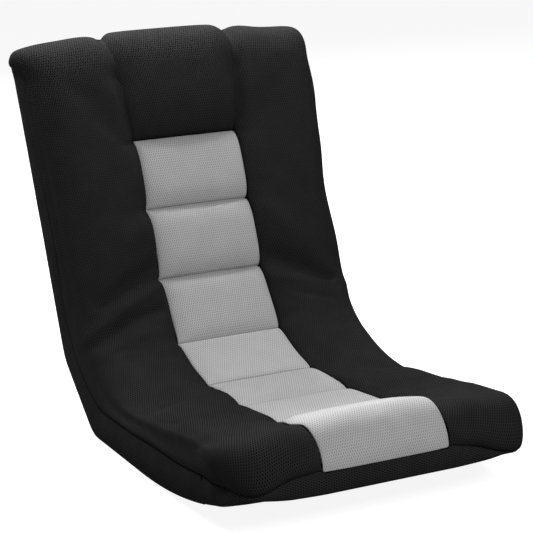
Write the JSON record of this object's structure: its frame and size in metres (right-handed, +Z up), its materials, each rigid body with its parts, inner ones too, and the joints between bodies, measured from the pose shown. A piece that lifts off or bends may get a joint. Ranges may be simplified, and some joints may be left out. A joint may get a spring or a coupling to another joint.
{
  "type": "floor chair",
  "caption": "Legless padded floor chair with a curved rocking underside, channelled centre panel, side bolsters, headrest and a ratchet-reclining back.",
  "frame": {"origin": "middle of the flat patch under the seat, on the floor", "axes": "+X towards the right as the camera sees the chair's front, +Y from the front to the back, +Z up; the chair faces -Y"},
  "size_m": [0.5, 0.8331, 0.6057],
  "materials": {
    "black_mesh": "black spacer mesh over foam",
    "grey_mesh": "light grey spacer mesh over foam",
    "base_cloth": "plain black cloth",
    "covered_foam": "foam inside the black cover",
    "frame_paint": "black powder coat",
    "hinge_steel": "zinc-plated pressed steel",
    "rivet_steel": "bright steel",
    "spring_steel": "oiled spring steel"
  },
  "bodies": {
    "seat": {"seat_sole": "base_cloth", "seat_front_band": "black_mesh", "seat_side_band_left": "black_mesh", "seat_side_band_right": "black_mesh", "seat_base_foam": "covered_foam", "seat_center_panel": "grey_mesh", "seat_bolster_left": "black_mesh", "seat_bolster_right": "black_mesh", "seat_frame_tube": "frame_paint", "seat_cross_bar": "frame_paint", "seat_zigzag_springs": "spring_steel", "hinge_outer_cheek_left": "hinge_steel", "hinge_outer_cheek_right": "hinge_steel", "hinge_inner_cheek_left": "hinge_steel", "hinge_inner_cheek_right": "hinge_steel", "hinge_seat_tang_left": "hinge_steel", "hinge_seat_tang_right": "hinge_steel", "hinge_pivot_left": "rivet_steel", "hinge_pivot_right": "rivet_steel", "pawl_pin_left": "rivet_steel", "pawl_pin_right": "rivet_steel", "pawl_spring_left": "spring_steel", "pawl_spring_right": "spring_steel", "cheek_rivets": "rivet_steel", "seat_tube_rivets": "rivet_steel", "hinge_pad_left": "black_mesh", "hinge_pad_right": "black_mesh", "fold_bolster_left": "black_mesh", "fold_bolster_right": "black_mesh", "fold_center_panel": "grey_mesh", "heel_gusset": "base_cloth"},
    "back": {"back_rear_cover": "base_cloth", "back_side_band_left": "black_mesh", "back_side_band_right": "black_mesh", "back_rear_foam": "covered_foam", "back_center_panel": "grey_mesh", "back_bolster_left": "black_mesh", "back_bolster_right": "black_mesh", "headrest_pad": "black_mesh", "back_frame_tube": "frame_paint", "back_cross_bar": "frame_paint", "back_zigzag_springs": "spring_steel", "hinge_back_arm_left": "hinge_steel", "hinge_back_arm_right": "hinge_steel", "back_tube_rivets": "rivet_steel"},
    "pawl_left": {"pawl_left": "hinge_steel"},
    "pawl_right": {"pawl_right": "hinge_steel"}
  },
  "joints": [
    {"name": "recline", "type": "hinge", "parent": "seat", "child": "back", "pos_m": [0, 0.14, 0.065], "axis": [1, 0, 0], "range_deg": [-66, 30], "deforming": ["fold_bolster_left", "fold_bolster_right", "fold_center_panel", "heel_gusset"]},
    {"name": "pawl_left_swing", "type": "hinge", "parent": "seat", "child": "pawl_left", "pos_m": [-0.19, 0.11104, 0.05978], "axis": [1, 0, 0], "range_deg": [-15, 0], "stiffness_Nm_per_rad": 0.05, "springref_deg": 17.19, "deforming": ["pawl_spring_left"]},
    {"name": "pawl_right_swing", "type": "hinge", "parent": "seat", "child": "pawl_right", "pos_m": [0.19, 0.11104, 0.05978], "axis": [1, 0, 0], "range_deg": [-15, 0], "stiffness_Nm_per_rad": 0.05, "springref_deg": 17.19, "deforming": ["pawl_spring_right"]}
  ]
}
